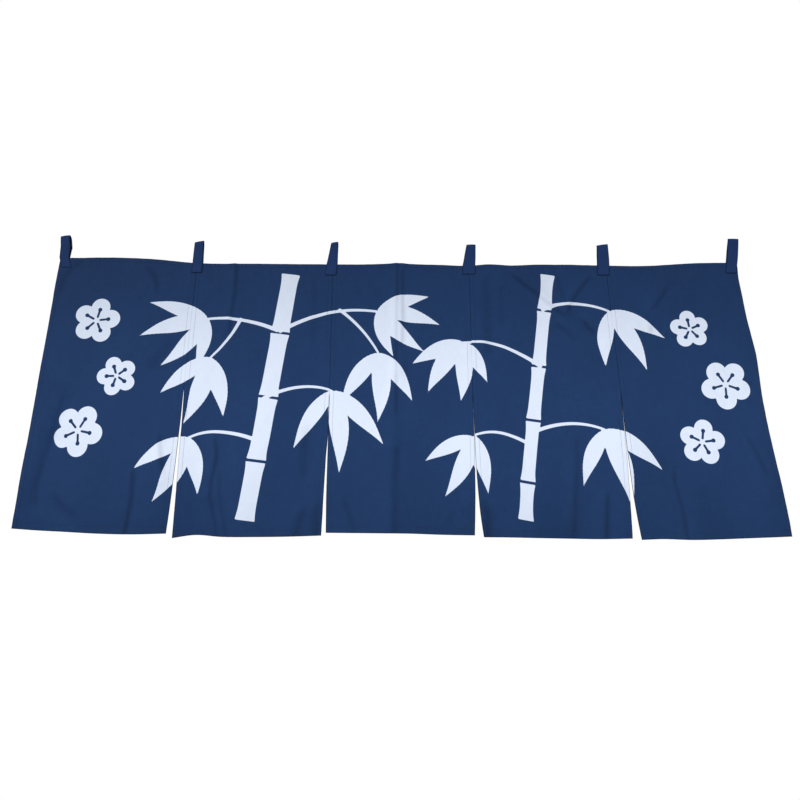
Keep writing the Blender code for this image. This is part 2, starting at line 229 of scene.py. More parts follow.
# The loops: the left and right side where each leaves the top edge and at its crown, the height of
# its crown above the edge, how much higher the crown is on its right than on its left, how far the
# strip moves to the right for each metre back, the height where its sides start to lean, the length
# sewn down, and how far to the right the sewn ends run over that length
LOOP_SIZES = "left right crown_left crown_right height slant skew lean_from sewn toe"
Tab = namedtuple("Tab", "name node " + LOOP_SIZES)
TABS = (
    Tab("loop_1", "tab_1", -0.8565, -0.8320, -0.8614, -0.8400, 0.0623, 0.0035, -0.20, 0.030, 0.027, 0.0100),
    Tab("loop_2", "tab_2", -0.5212, -0.4952, -0.5208, -0.4985, 0.0601, 0.0050, -0.25, 0.000, 0.027, -0.0010),
    Tab("loop_3", "tab_3", -0.1859, -0.1585, -0.1749, -0.1585, 0.0614, 0.0028, 0.00, 0.000, 0.030, -0.0030),
    Tab("loop_4", "tab_4", 0.1537, 0.1855, 0.1658, 0.1879, 0.0586, 0.0003, 0.00, 0.000, 0.024, -0.0010),
    Tab("loop_5", "tab_5", 0.4900, 0.5201, 0.4937, 0.5222, 0.0575, 0.0044, 0.40, 0.000, 0.027, -0.0030),
    Tab("loop_6", "tab_6", 0.8131, 0.8404, 0.8276, 0.8547, 0.0668, -0.0005, 0.62, 0.000, 0.029, -0.0070),
)
# The crown's radius at the middle of the strip and how far that lies below the crown, and how far
# the strip stands off the hem. Its stitches run a little inside its sides and press it in, and its
# sides wander. All stitching keeps clear of an end by SEWN_END, and a width's of a loop by LOOP_MARGIN.
LOOP_MIDDLE_RADIUS = 0.0064
CROWN_DEPTH = 0.0009
LOOP_CLEARANCE = 0.00012
LOOP_EDGE_LINE = 0.0018
LOOP_GROOVE_DEPTH = 0.00014
LOOP_GROOVE_WIDTH = 0.0006
SIDE_WANDER = 0.0003
SEWN_END = 0.003
LOOP_MARGIN = 0.0012
STRIP_WIDTH = 0.027

# The printed pattern: stalks, twigs, sprays of leaves and blossoms, placed on the flat cloth
Culm = namedtuple("Culm", "foot_x foot_z head_x head_z width joints")
CULMS = (
    Culm(-0.3456, -0.627, -0.2738, -0.029, 0.040, (0.22, 0.47, 0.74)),
    Culm(0.2703, -0.627, 0.3643, -0.029, 0.029, (0.14, 0.38, 0.60, 0.84)),
)
JOINT_GAP = 0.0065
Twig = namedtuple("Twig", "x0 z0 bend_x bend_z x1 z1 width")
TWIGS = (
    Twig(-0.300, -0.178, -0.390, -0.140, -0.470, -0.150, 0.0085),
    Twig(-0.390, -0.150, -0.410, -0.200, -0.455, -0.250, 0.0070),
    Twig(-0.292, -0.180, -0.180, -0.110, -0.060, -0.128, 0.0085),
    Twig(-0.150, -0.124, -0.090, -0.170, -0.055, -0.235, 0.0070),
    Twig(-0.327, -0.352, -0.240, -0.300, -0.165, -0.330, 0.0075),
    Twig(0.330, -0.268, 0.250, -0.200, 0.150, -0.205, 0.0080),
    Twig(0.346, -0.122, 0.430, -0.090, 0.505, -0.125, 0.0080),
    Twig(0.310, -0.425, 0.400, -0.390, 0.465, -0.420, 0.0075),
    Twig(-0.336, -0.447, -0.420, -0.414, -0.492, -0.442, 0.0078),
    Twig(0.296, -0.457, 0.225, -0.415, 0.168, -0.436, 0.0070),
)
Spray = namedtuple("Spray", "x z heading spread leaves length width")
SPRAYS = (
    Spray(-0.472, -0.150, -56.0, 32.0, 4, 0.172, 0.042),
    Spray(-0.456, -0.252, -18.0, 34.0, 3, 0.160, 0.045),
    Spray(-0.056, -0.129, 63.0, 30.0, 4, 0.156, 0.041),
    Spray(-0.055, -0.238, 0.0, 35.0, 3, 0.176, 0.047),
    Spray(-0.163, -0.332, 6.0, 38.0, 3, 0.196, 0.046),
    Spray(0.147, -0.205, -18.0, 31.0, 4, 0.156, 0.044),
    Spray(0.508, -0.127, 26.0, 36.0, 3, 0.158, 0.041),
    Spray(0.468, -0.422, 14.0, 38.0, 3, 0.170, 0.043),
    Spray(-0.494, -0.443, -22.0, 36.0, 3, 0.160, 0.043),
    Spray(0.166, -0.437, -26.0, 37.0, 3, 0.148, 0.039),
)
LEAF_STEPS = 18
Blossom = namedtuple("Blossom", "x z radius turn")
BLOSSOMS = (
    Blossom(-0.735, -0.165, 0.056, 8.0),
    Blossom(-0.668, -0.300, 0.047, 40.0),
    Blossom(-0.742, -0.430, 0.060, 62.0),
    Blossom(0.700, -0.175, 0.048, 20.0),
    Blossom(0.766, -0.318, 0.060, 50.0),
    Blossom(0.690, -0.452, 0.053, 5.0),
)
PRINT_REACH = 0.012


class NorenClothSettings(bpy.types.PropertyGroup):
    """Sizes of the five widths of cloth."""

    thickness: bpy.props.FloatProperty(
        name="Cloth", description="Thickness of one layer of the cloth",
        default=0.0006, min=0.0002, max=0.0012, unit="LENGTH")
    hem_thickness: bpy.props.FloatProperty(
        name="Hem", description="Thickness of a hem, where the cloth is turned over twice",
        default=0.0014, min=0.0006, max=0.0024, unit="LENGTH")
    side_hem: bpy.props.FloatProperty(
        name="Side hem", description="Distance of the stitches from a side or a seam",
        default=0.010, min=0.004, max=0.030, unit="LENGTH")
    top_hem: bpy.props.FloatProperty(
        name="Top hem", description="Distance of the stitches from the top edge",
        default=0.010, min=0.004, max=0.030, unit="LENGTH")
    foot_hem: bpy.props.FloatProperty(
        name="Foot hem", description="Distance of the stitches from the foot",
        default=0.0135, min=0.004, max=0.030, unit="LENGTH")
    cell: bpy.props.FloatProperty(
        name="Net", description="Distance between the lines of the net inside the hems",
        default=0.0028, min=0.002, max=0.020, unit="LENGTH")
    crumple: bpy.props.FloatProperty(
        name="Crumple", description="Height of the cloth's fine unevenness",
        default=0.00034, min=0.0, max=0.002, unit="LENGTH")
    pucker: bpy.props.FloatProperty(
        name="Pucker", description="Height of the puckers along the stitched lines",
        default=0.00020, min=0.0, max=0.001, unit="LENGTH")


class NorenLoopSettings(bpy.types.PropertyGroup):
    """Sizes of the six loops."""

    thickness: bpy.props.FloatProperty(
        name="Strip", description="Thickness of the folded strip",
        default=0.0014, min=0.0008, max=0.0018, unit="LENGTH")
    bulge: bpy.props.FloatProperty(
        name="Bulge", description="How far the middle of the strip stands out above the edge",
        default=0.0005, min=0.0, max=0.002, unit="LENGTH")


class NorenThreadSettings(bpy.types.PropertyGroup):
    """Sizes of the sewing thread and its stitches."""

    radius: bpy.props.FloatProperty(
        name="Radius", description="Radius of the sewing thread",
        default=0.00022, min=0.0001, max=0.001, unit="LENGTH")
    length: bpy.props.FloatProperty(
        name="Stitch", description="Length of thread that shows in one stitch",
        default=0.0026, min=0.001, max=0.010, unit="LENGTH")
    pitch: bpy.props.FloatProperty(
        name="Pitch", description="Distance from one stitch to the next",
        default=0.0032, min=0.0015, max=0.012, unit="LENGTH")


class NorenFinishSettings(bpy.types.PropertyGroup):
    """Colours of the cloth, its print and its thread."""

    navy: bpy.props.FloatVectorProperty(
        name="Cloth", description="Colour of the dyed cloth",
        default=(0.0116, 0.0358, 0.1080), min=0.0, max=1.0, subtype="COLOR")
    loop_navy: bpy.props.FloatVectorProperty(
        name="Loops", description="Colour of the loops",
        default=(0.0128, 0.0362, 0.1190), min=0.0, max=1.0, subtype="COLOR")
    white: bpy.props.FloatVectorProperty(
        name="Print", description="Colour of the printed pattern",
        default=(0.662, 0.738, 0.880), min=0.0, max=1.0, subtype="COLOR")
    thread: bpy.props.FloatVectorProperty(
        name="Thread", description="Colour of the sewing thread",
        default=(0.0140, 0.0320, 0.0850), min=0.0, max=1.0, subtype="COLOR")
    weave: bpy.props.FloatProperty(
        name="Weave", description="Distance from one thread of the cloth to the next",
        default=0.00062, min=0.0003, max=0.003, unit="LENGTH")


class NorenStageSettings(bpy.types.PropertyGroup):
    """The light, the floor and the camera."""

    sky: bpy.props.FloatProperty(
        name="Surround", description="Brightness of the even light from all sides",
        default=0.16, min=0.0, max=4.0)
    key: bpy.props.FloatProperty(
        name="Key light", description="Strength of the broad light at the front, from the upper left",
        default=2.10, min=0.0, max=50.0)
    strip: bpy.props.FloatProperty(
        name="Strip light", description="Power of the long lamp in front of the curtain's middle",
        default=5.4, min=0.0, max=2000.0, unit="POWER")
    rear: bpy.props.FloatProperty(
        name="Rear light", description="Strength of the broad light behind, from the right",
        default=1.5, min=0.0, max=50.0)
    floor_level: bpy.props.FloatProperty(
        name="Floor", description="Height of the floor below the curtain's top edge",
        default=-1.95, min=-4.0, max=-0.7, unit="LENGTH")
    floor: bpy.props.FloatVectorProperty(
        name="Floor colour", description="Colour of the floor",
        default=(0.82, 0.82, 0.81), min=0.0, max=1.0, subtype="COLOR")
    camera_place: bpy.props.FloatVectorProperty(
        name="Camera", description="Place of the camera",
        default=(-0.0015, -1.1669, -0.6450), subtype="TRANSLATION")
    camera_turn: bpy.props.FloatVectorProperty(
        name="Turn", description="How the camera is tilted up, rolled and turned from straight ahead",
        default=[math.radians(angle) for angle in (14.035, 0.019, 0.059)], subtype="EULER")
    lens: bpy.props.FloatProperty(
        name="Lens", description="Focal length on a 36 mm sensor, in millimetres",
        default=23.18, min=10.0, max=200.0)


def smooth_line(points, at):
    """A soft curve through a table of points: cubic pieces whose slopes are those of the table."""
    knots, values = np.array(points).T
    slopes = np.gradient(values, knots)
    at = np.clip(at, knots[0], knots[-1])
    i = np.clip(np.searchsorted(knots, at) - 1, 0, len(knots) - 2)
    span = knots[i + 1] - knots[i]
    t = (at - knots[i]) / span
    start = values[i] * (1 + 2 * t) * (1 - t) ** 2 + slopes[i] * span * t * (1 - t) ** 2
    end = values[i + 1] * t * t * (3 - 2 * t) - slopes[i + 1] * span * t * t * (1 - t)
    return start + end


def ease(value, start, end):
    """A soft step: 0 before start, 1 after end, and three t squared less two t cubed between."""
    t = np.clip((value - start) / (end - start), 0.0, 1.0)
    return t * t * (3 - 2 * t)


def run_down(start, z):
    """How far a height is below a starting one: 0 there and above it, and 1 at the foot."""
    return np.maximum((start - z) / (start - FOOT_LEVEL), 0.0)


def fold_depth(x, z):
    """Forward rise of the main folds: each fades away from its line as a bell curve."""
    rise = np.zeros_like(x)
    for fold in FOLDS:
        run_x, run_z = fold.x1 - fold.x0, fold.z1 - fold.z0
        along = ((x - fold.x0) * run_x + (z - fold.z0) * run_z) / (run_x ** 2 + run_z ** 2)
        along = np.clip(along, 0.0, 1.0)
        away = np.hypot(x - fold.x0 - along * run_x, z - fold.z0 - along * run_z)
        rise += fold.rise * np.exp(-(away / fold.half_width) ** 2)
    return rise


def crease_depth(x, z):
    """Forward rise of the creases, and the shade painted along their middles, up to 1.

    Across is the distance from a crease's line, positive to the left of its run. The rise is half of
    the drop times tanh(across / width), less the same with a greater width, and its sign turned. It
    fades at both ends of the line.
    """
    rise = np.zeros_like(x)
    mark = np.zeros_like(x)
    for crease in CREASES:
        line = np.array(crease.line)
        reach = 2.4 * CREASE_TAIL * crease.width
        low, high = line.min(axis=0) - reach, line.max(axis=0) + reach
        here = (x > low[0]) & (x < high[0]) & (z > low[1]) & (z < high[1])
        px, pz = x[here], z[here]
        nearest, across, along = np.full(px.shape, np.inf), np.zeros_like(px), np.zeros_like(px)
        passed = 0.0
        for (x0, z0), (x1, z1) in zip(line[:-1], line[1:]):
            length = math.hypot(x1 - x0, z1 - z0)
            way_x, way_z = (x1 - x0) / length, (z1 - z0) / length
            run = (px - x0) * way_x + (pz - z0) * way_z
            side = (pz - z0) * way_x - (px - x0) * way_z
            away = np.hypot(side, run - np.clip(run, 0.0, length))
            across = np.where(away < nearest, side, across)
            along = np.where(away < nearest, passed + run, along)
            nearest = np.minimum(away, nearest)
            passed += length
        fade = ease(along, 0.0, CREASE_FADE) * ease(passed - along, 0.0, CREASE_FADE)
        step = np.tanh(across / crease.width) - np.tanh(across / (CREASE_TAIL * crease.width))
        rise[here] -= crease.drop / 2 * step * fade
        # Painted shade along the crease's middle, for the shade that lies in its trough
        near = crease.dark * fade * np.exp(-(across / (1.3 * crease.width)) ** 2)
        mark[here] = np.maximum(mark[here], near)
    return rise, mark


def wave_depth(x, z):
    """The waves across the curtain: sines in x that drift with z and grow from the top to the foot."""
    growth = run_down(WAVE_START, z) ** WAVE_POWER
    total = np.zeros_like(x)
    for wave in WAVES:
        total += wave.height * np.sin(2 * math.pi * (x + wave.drift * z) / wave.length + wave.phase)
    return growth * total


def crumple_depth(x, z, height):
    """Fine unevenness: seeded lines that run mostly up and down, bent by slower sines.

    Every other line is a sine, and the rest are narrow ridges, the bell of a sine, that a slower
    sine fades in and out along their length. Each is as high as it is long, times one small number.
    """
    seeds = np.random.default_rng(11)
    total = np.zeros_like(x)
    for line in range(CRUMPLE_LINES):
        length = CRUMPLE_LENGTH * CRUMPLE_SPREAD ** seeds.random()
        heading = seeds.normal(0.0, 0.55)
        phase, bend_phase, fade_phase = 2 * math.pi * seeds.random(3)
        over = x * math.cos(heading) + z * math.sin(heading)
        along = z * math.cos(heading) - x * math.sin(heading)
        bend = 0.16 * length * np.sin(2 * math.pi * along / (4.3 * length) + bend_phase)
        swell = np.sin(2 * math.pi * (over + bend) / length + phase)
        if line % 2:
            fade = 0.5 + 0.5 * np.sin(2 * math.pi * along / (3.1 * length) + fade_phase)
            swell = fade * np.exp(-(swell / 0.42) ** 2)
        total += swell * length
    return height * total / (0.042 * math.sqrt(CRUMPLE_LINES))


def pucker_depth(away, along, line, height):
    """Puckers of a stitched line: a sine of uneven length that fades as a bell away from the line."""
    wander = 1.4 * np.sin(2 * math.pi * along / (5.3 * PUCKER_LENGTH) + 1.9 * line)
    wander += 0.8 * np.sin(2 * math.pi * along / (2.1 * PUCKER_LENGTH) + 0.7 * line)
    wave = np.sin(2 * math.pi * along / PUCKER_LENGTH + wander + 2.6 * line)
    swell = 0.6 + 0.4 * np.sin(2 * math.pi * along / (8.7 * PUCKER_LENGTH) + 3.1 * line)
    return height * swell * wave * np.exp(-(away / PUCKER_REACH) ** 2)


def loop_calm(x, z):
    """How free the cloth is of the loops: 0 where one is sewn down and 1 well away from all."""
    calm = np.ones_like(x)
    for tab in TABS:
        away = (x - (tab.left + tab.right) / 2) / CALM_HALF_WIDTH
        calm *= 1 - np.exp(-away ** 4) * ease(z, CALM_FOOT, CALM_TOP)
    return calm


def front_face(width, across, x, z):
    """The y of a width's front face: waves, folds, the bow at the top and the swing below the slit."""
    bow = width.bow * np.sin(math.pi * across) ** 2 * np.exp(z / BOW_REACH)
    free = run_down(SLIT_TOP, z) ** WAVE_POWER
    swing = width.swing + width.turn * (2 * across - 1) + width.curl * np.cos(2 * math.pi * across)
    return wave_depth(x, z) + bow + free * swing - fold_depth(x, z)


def slit_share(seam, z):
    """How open a slit is, on top of its powers: 0 where it stays closed, then a soft step up to 1."""
    return ease(run_down(SLIT_TOP, z), seam.closed, seam.closed + OPENING)


def seam_line(seam, z):
    """The x of a seam, which runs straight from the top edge to its slit and on below it."""
    down = np.clip(z / SLIT_TOP, 0.0, 1.0)
    return seam.top_x + (seam.slit_x - seam.top_x) * down


def left_edge(index, z):
    """The x of a width's left side: the outer side, or the seam and then the slit's right side."""
    if index == 0:
        return smooth_line(LEFT_SIDE, z)
    seam = SEAMS[index - 1]
    opening = seam.right_shift * run_down(SLIT_TOP, z) ** seam.right_power
    return seam_line(seam, z) + opening * slit_share(seam, z)


def right_edge(index, z):
    """The x of a width's right side: the outer side, or the seam and then the slit's left side."""
    if index == len(SEAMS):
        return smooth_line(RIGHT_SIDE, z)
    seam = SEAMS[index]
    opening = seam.left_shift * run_down(SLIT_TOP, z) ** seam.left_power
    return seam_line(seam, z) + opening * slit_share(seam, z)


def foot_height(width, across):
    """The z of the foot: a soft curve through the width's six heights."""
    return smooth_line(list(zip(FOOT_PLACES, width.foot)), across)


def width_size(index):
    """The breadth of a width at its top edge, and its drop at its middle."""
    breadth = float(right_edge(index, 0.0) - left_edge(index, 0.0))
    return breadth, -WIDTHS[index].foot[2]


def round_off(rim, thickness):
    """How far a face draws in near a rim: a quarter circle as wide as half the thickness."""
    half = thickness / 2
    t = np.clip(rim / half, 0.0, 1.0)
    return 0.93 * half * (1 - np.sqrt(1 - (1 - t) ** 2))


def cloth_points(index, along, down, cloth):
    """Front and back points of a width, how far each is from a rim, and the shade painted in its grooves and
    creases.

    Along and down are distances over the flat cloth from its top left corner. The front is the
    solid's own face with creases, crumple, puckers and grooves under the stitches. The back lies one
    thickness behind it, which eases from the cloth's to the hem's. The distance from a rim sets the painted
    shade that stands for the hem edge's shadow; a sewn seam gets less of it than a free rim, so it counts
    as further away. The painted groove shade is 1 in the middle of the darkest crease.
    """
    width = WIDTHS[index]
    breadth, drop = width_size(index)
    across, fall = along / breadth, down / drop
    top_x = left_edge(index, 0.0) * (1 - across) + right_edge(index, 0.0) * across
    z = smooth_line(TOP_EDGE, top_x) * (1 - fall) + foot_height(width, across) * fall
    x = left_edge(index, z) * (1 - across) + right_edge(index, z) * across
    left, right, foot = along, breadth - along, drop - down
    lines = (
        (left - cloth.side_hem, down, index),
        (right - cloth.side_hem, down, index + 1),
        (down - cloth.top_hem, along, index + 7),
        (foot - cloth.foot_hem, along, index + 13),
    )
    hem = np.zeros_like(x)
    groove = np.zeros_like(x)
    pucker = np.zeros_like(x)
    for away, run, line in lines:
        hem = np.maximum(hem, 1 - ease(away, -0.0003, 0.0009))
        groove = np.maximum(groove, np.exp(-(away / GROOVE_HALF_WIDTH) ** 2))
        pucker += pucker_depth(away, run, line, cloth.pucker)
    calm = loop_calm(x, z)
    rise, crease = crease_depth(x, z)
    y = front_face(width, across, x, z) - rise
    y += calm * (pucker + crumple_depth(x, z, cloth.crumple) - HEM_PROUD * hem)
    thickness = cloth.thickness + (cloth.hem_thickness - cloth.thickness) * hem
    rim = np.minimum(np.minimum(left, right), np.minimum(down, foot))
    inset = round_off(rim, thickness) + GROOVE_DEPTH * groove
    front = np.stack([x, y + inset, z], axis=-1)
    back = np.stack([x, y + thickness - inset, z], axis=-1)
    # The rim distance sets the painted shade of the hem's edge, less at a sewn seam. The last value is the
    # painted shade of the stitch grooves and creases.
    sewn = SEAM_SHADE_OFFSET * ease(z, SLIT_TOP - 0.020, SLIT_TOP)
    shade_term = np.minimum(left + sewn * (index > 0), right + sewn * (index < len(SEAMS)))
    shade_term = np.minimum(shade_term, np.minimum(down, foot))
    return front, back, shade_term, np.maximum(STITCH_SHADE * groove, crease)


def net_lines(length, start_hem, end_hem, cell):
    """Distances along a side of the net: close at the rims and the hems' ends, and even between."""
    rim = np.array([0.0, 0.00012, 0.00035, 0.0007, 0.0014, 0.0028])
    hem = np.array([-0.0013, -0.0006, 0.0, 0.0006, 0.0013])
    start = np.concatenate([rim, np.linspace(0.0028, start_hem - 0.0013, 4)[1:-1], start_hem + hem])
    end = np.concatenate([rim, np.linspace(0.0028, end_hem - 0.0013, 4)[1:-1], end_hem + hem])
    steps = int((length - start[-1] - end[-1]) / cell)
    inner = np.linspace(start[-1], length - end[-1], steps + 1)[1:-1]
    return np.concatenate([start, inner, length - end[::-1]])


def add_brush(field, x, z, line, half):
    """Joins a brush line to the field: distance to each piece, less a half width that blends along it."""
    low = (line - half[:, None]).min(axis=0) - PRINT_REACH
    high = (line + half[:, None]).max(axis=0) + PRINT_REACH
    here = (x > low[0]) & (x < high[0]) & (z > low[1]) & (z < high[1])
    px, pz, best = x[here], z[here], field[here]
    for (x0, z0), (x1, z1), half0, half1 in zip(line[:-1], line[1:], half[:-1], half[1:]):
        run_x, run_z = x1 - x0, z1 - z0
        along = ((px - x0) * run_x + (pz - z0) * run_z) / (run_x ** 2 + run_z ** 2)
        along = np.clip(along, 0.0, 1.0)
        away = np.hypot(px - x0 - along * run_x, pz - z0 - along * run_z)
        best = np.minimum(best, away - half0 - (half1 - half0) * along)
    field[here] = best


def bend_line(start, bend, end, t):
    """A quadratic curve from start to end that is drawn towards bend."""
    t = t[:, None]
    return np.array(start) * (1 - t) ** 2 + np.array(bend) * 2 * t * (1 - t) + np.array(end) * t ** 2


def add_leaf(field, x, z, root, heading, length, width, curl):
    """A bamboo leaf: a bent brush line, widest at a third of its length and pointed at its tip."""
    t = np.linspace(0.0, 1.0, LEAF_STEPS)
    way = np.array([math.sin(heading), -math.cos(heading)])
    side = np.array([-way[1], way[0]])
    root = np.array(root)
    bend = root + way * length * 0.5 + side * length * curl
    half = width / 2 * np.sin(math.pi * t ** 0.74) ** 1.12 + 0.0026 * (1 - t) ** 5
    add_brush(field, x, z, bend_line(root, bend, root + way * length, t), half)


def add_culm(field, x, z, culm):
    """A stalk: a straight band that flares a little at its ends and at its joints, which are thin gaps."""
    run = np.array([culm.head_x - culm.foot_x, culm.head_z - culm.foot_z])
    length = np.hypot(*run)
    way = run / length
    along = ((x - culm.foot_x) * way[0] + (z - culm.foot_z) * way[1]) / length
    away = np.abs((x - culm.foot_x) * way[1] - (z - culm.foot_z) * way[0])
    to_joint = np.min([np.abs(along - joint) for joint in culm.joints], axis=0) * length
    inside = np.minimum(along, 1 - along) * length
    flare = 0.0030 * np.exp(-(np.minimum(to_joint, np.abs(inside)) / 0.016) ** 1.5)
    band = np.maximum(away - culm.width / 2 - flare, -inside)
    np.minimum(field, np.maximum(band, JOINT_GAP / 2 - to_joint), out=field)


def add_blossom(field, x, z, blossom):
    """A plum blossom: five round petals with five bare stamens, all folded into one fifth of a turn."""
    px, pz = x - blossom.x, z - blossom.z
    out = np.hypot(px, pz)
    part = 2 * math.pi / 5
    turn = np.arctan2(pz, px) - math.radians(blossom.turn)
    turn = (turn + part / 2) % part - part / 2
    fold_x, fold_z = out * np.cos(turn), out * np.sin(turn)
    radius = blossom.radius
    petal = np.hypot(fold_x - 0.60 * radius, fold_z) - 0.405 * radius
    stem = np.hypot(fold_x - np.clip(fold_x, 0.16 * radius, 0.44 * radius), fold_z) - 0.0027
    dot = np.hypot(fold_x - 0.50 * radius, fold_z) - 0.0050
    white = np.minimum(petal, out - 0.30 * radius)
    np.minimum(field, np.maximum(white, -np.minimum(stem, dot)), out=field)


def print_field(x, z):
    """Signed distance to the printed pattern on the flat cloth, negative inside it."""
    field = np.full(x.shape, PRINT_REACH)
    for culm in CULMS:
        add_culm(field, x, z, culm)
    t = np.linspace(0.0, 1.0, LEAF_STEPS)
    for twig in TWIGS:
        line = bend_line((twig.x0, twig.z0), (twig.bend_x, twig.bend_z), (twig.x1, twig.z1), t)
        add_brush(field, x, z, line, twig.width / 2 * (1.15 - 0.45 * t))
    for spray in SPRAYS:
        for place in np.arange(spray.leaves) - (spray.leaves - 1) / 2:
            heading = math.radians(spray.heading + spray.spread * place)
            size = 1.0 - 0.13 * abs(place) + 0.06 * math.sin(7.0 * place + 40.0 * spray.x)
            curl = math.copysign(0.10, place)
            root = (spray.x, spray.z)
            add_leaf(field, x, z, root, heading, spray.length * size, spray.width * size, curl)
    for blossom in BLOSSOMS:
        add_blossom(field, x, z, blossom)
    return np.clip(field, -PRINT_REACH, PRINT_REACH)


def fill_mesh(name, points, faces):
    """A smooth mesh from an array of points and an array of faces with as many corners each."""
    mesh = bpy.data.meshes.new(name)
    mesh.from_pydata(points.tolist(), [], faces.tolist())
    mesh.update()
    mesh.shade_smooth()
    return mesh


def sheet_mesh(name, front, back, flat, marks):
    """A closed sheet from two grids of points, with a wall round its rim.

    Flat holds each grid point's place on the flat cloth, for the map of the weave, and marks holds
    one value a grid point under each name. The faces of the back take the second material.
    """
    rows, columns = front.shape[:2]
    size = rows * columns
    grid = np.arange(size).reshape(rows, columns)
    a, b, c, d = grid[:-1, :-1], grid[:-1, 1:], grid[1:, 1:], grid[1:, :-1]
    front_quads = np.stack([a, d, c, b], axis=-1).reshape(-1, 4)
    back_quads = np.stack([a, b, c, d], axis=-1).reshape(-1, 4) + size
    rim = np.concatenate([grid[0, :-1], grid[:-1, -1], grid[-1, :0:-1], grid[:0:-1, 0]])
    after = np.roll(rim, -1)
    walls = np.stack([rim, after, after + size, rim + size], axis=-1)
    quads = np.concatenate([front_quads, walls, back_quads])
    mesh = fill_mesh(name, np.concatenate([front.reshape(-1, 3), back.reshape(-1, 3)]), quads)
    places = np.concatenate([flat.reshape(-1, 2), flat.reshape(-1, 2)])
    mesh.uv_layers.new(name="cloth").data.foreach_set("uv", places[quads.ravel()].ravel())
    for mark, values in marks.items():
        layer = mesh.attributes.new(mark, "FLOAT", "POINT")
        layer.data.foreach_set("value", np.concatenate([values.ravel(), values.ravel()]))
    side = np.zeros(len(quads), dtype=np.int32)
    side[-len(back_quads):] = 1
    mesh.polygons.foreach_set("material_index", side)
    return mesh


def width_mesh(index, cloth):
    """One width: its net of points, its place on the flat cloth and its share of the print."""
    breadth, drop = width_size(index)
    columns = net_lines(breadth, cloth.side_hem, cloth.side_hem, cloth.cell)
    rows = net_lines(drop, cloth.top_hem, cloth.foot_hem, cloth.cell)
    along, down = np.meshgrid(columns, rows)
    front, back, rim, groove = cloth_points(index, along, down, cloth)
    flat_x = FLAT_LEFT + FLAT_WIDTH * (index + along / breadth)
    flat = np.stack([flat_x, -down], axis=-1)
    # The rim distance and the groove value set the painted shade in the material
    marks = {"print": print_field(flat_x, -down), "rim": rim, "groove": groove}
    return sheet_mesh(WIDTHS[index].name, front, back, flat, marks)


def loop_path(tab, cloth, loop):
    """The middle line of a loop in y and z above the edge, evenly spaced and a little softened.

    It goes straight up the front of the hem, leans back to the crown, which is half a circle and a
    little more, and comes down the same way on the back of the hem.
    """
    front_y = -LOOP_CLEARANCE - loop.thickness / 2
    back_y = cloth.hem_thickness + LOOP_CLEARANCE + loop.thickness / 2
    centre_y = (front_y + back_y) / 2
    centre_z = tab.height - LOOP_MIDDLE_RADIUS - CROWN_DEPTH
    reach = math.hypot(centre_y - front_y, centre_z)
    lean = math.atan2(centre_y - front_y, centre_z)
    tangent = math.pi / 2 - math.acos(LOOP_MIDDLE_RADIUS / reach) + lean
    turn = np.linspace(math.pi + tangent, -tangent, 48)
    crown = np.stack([np.cos(turn), np.sin(turn)], axis=-1) * LOOP_MIDDLE_RADIUS + (centre_y, centre_z)
    front = [(front_y, -tab.sewn), (front_y, -0.001)]
    back = [(back_y, -0.001), (back_y, -tab.sewn)]
    corners = np.array([*front, *crown, *back])
    length = np.concatenate([[0.0], np.cumsum(np.hypot(*np.diff(corners, axis=0).T))])
    even = np.linspace(0.0, length[-1], 120)
    path = np.stack([np.interp(even, length, corners[:, 0]), np.interp(even, length, corners[:, 1])], axis=-1)
    for _ in range(6):
        path[1:-1] = (path[:-2] + 2 * path[1:-1] + path[2:]) / 4
    return path, even


def loop_points(tab, run, over, cloth, loop):
    """Outer and inner points of a loop and their distance from its rim.

    Run is the share of the way along the strip and over the share of the way across it. Its sides
    follow the solid's, and above the edge its middle stands out a little as a parabola.
    """
    path, length = loop_path(tab, cloth, loop)
    ahead = np.gradient(path, axis=0)
    ahead /= np.linalg.norm(ahead, axis=1, keepdims=True)
    at = run * length[-1]
    y, z, way_y, way_z = [np.interp(at, length, line) for line in (*path.T, *ahead.T)]
    lean = np.clip((z - tab.lean_from) / (tab.height - tab.lean_from), 0.0, 1.0)
    shift = tab.skew * (y - cloth.hem_thickness / 2) * lean + tab.toe * np.clip(-z / tab.sewn, 0.0, 1.0)
    left = tab.left + (tab.crown_left - tab.left) * lean + shift
    right = tab.right + (tab.crown_right - tab.right) * lean + shift
    x = left * (1 - over) + right * over
    x += SIDE_WANDER * np.sin(9.0 * run + 40.0 * tab.left) * ease(z, 0.0, 0.02)
    rim = np.minimum(np.minimum(over, 1 - over) * (right - left), np.minimum(run, 1 - run) * length[-1])
    edge_line = np.abs(np.minimum(over, 1 - over) * (right - left) - LOOP_EDGE_LINE)
    groove = LOOP_GROOVE_DEPTH * np.exp(-(edge_line / LOOP_GROOVE_WIDTH) ** 2)
    stand = loop.bulge * ease(z, 0.002, 0.014) * (1 - (2 * over - 1) ** 2)
    half = loop.thickness / 2 - round_off(rim, loop.thickness) - groove
    z += smooth_line(TOP_EDGE, (tab.left + tab.right) / 2) + lean * tab.slant * (over - 0.5)
    outer, inner = [np.stack([x, y - way_z * off, z + way_y * off], axis=-1)
                    for off in (stand + half, stand - half)]
    return outer, inner, rim, at


def loop_mesh(tab, cloth, loop):
    """One loop: a net along and across its strip, closer at its rims."""
    ends = np.array([0.0, 0.001, 0.003, 0.006])
    runs = np.concatenate([ends, np.linspace(0.012, 0.988, 100), 1 - ends[::-1]])
    sides = np.array([0.0, 0.006, 0.018, 0.034, 0.050, 0.066, 0.090])
    overs = np.concatenate([sides, np.linspace(0.13, 0.87, 10), 1 - sides[::-1]])
    over, run = np.meshgrid(overs, runs)
    outer, inner, rim, at = loop_points(tab, run, over, cloth, loop)
    flat = np.stack([tab.left + over * STRIP_WIDTH, at], axis=-1)
    # The distance from the rim sets the painted shade along the strip's edges in the material
    return sheet_mesh(tab.name, inner, outer, flat, {"rim": rim})


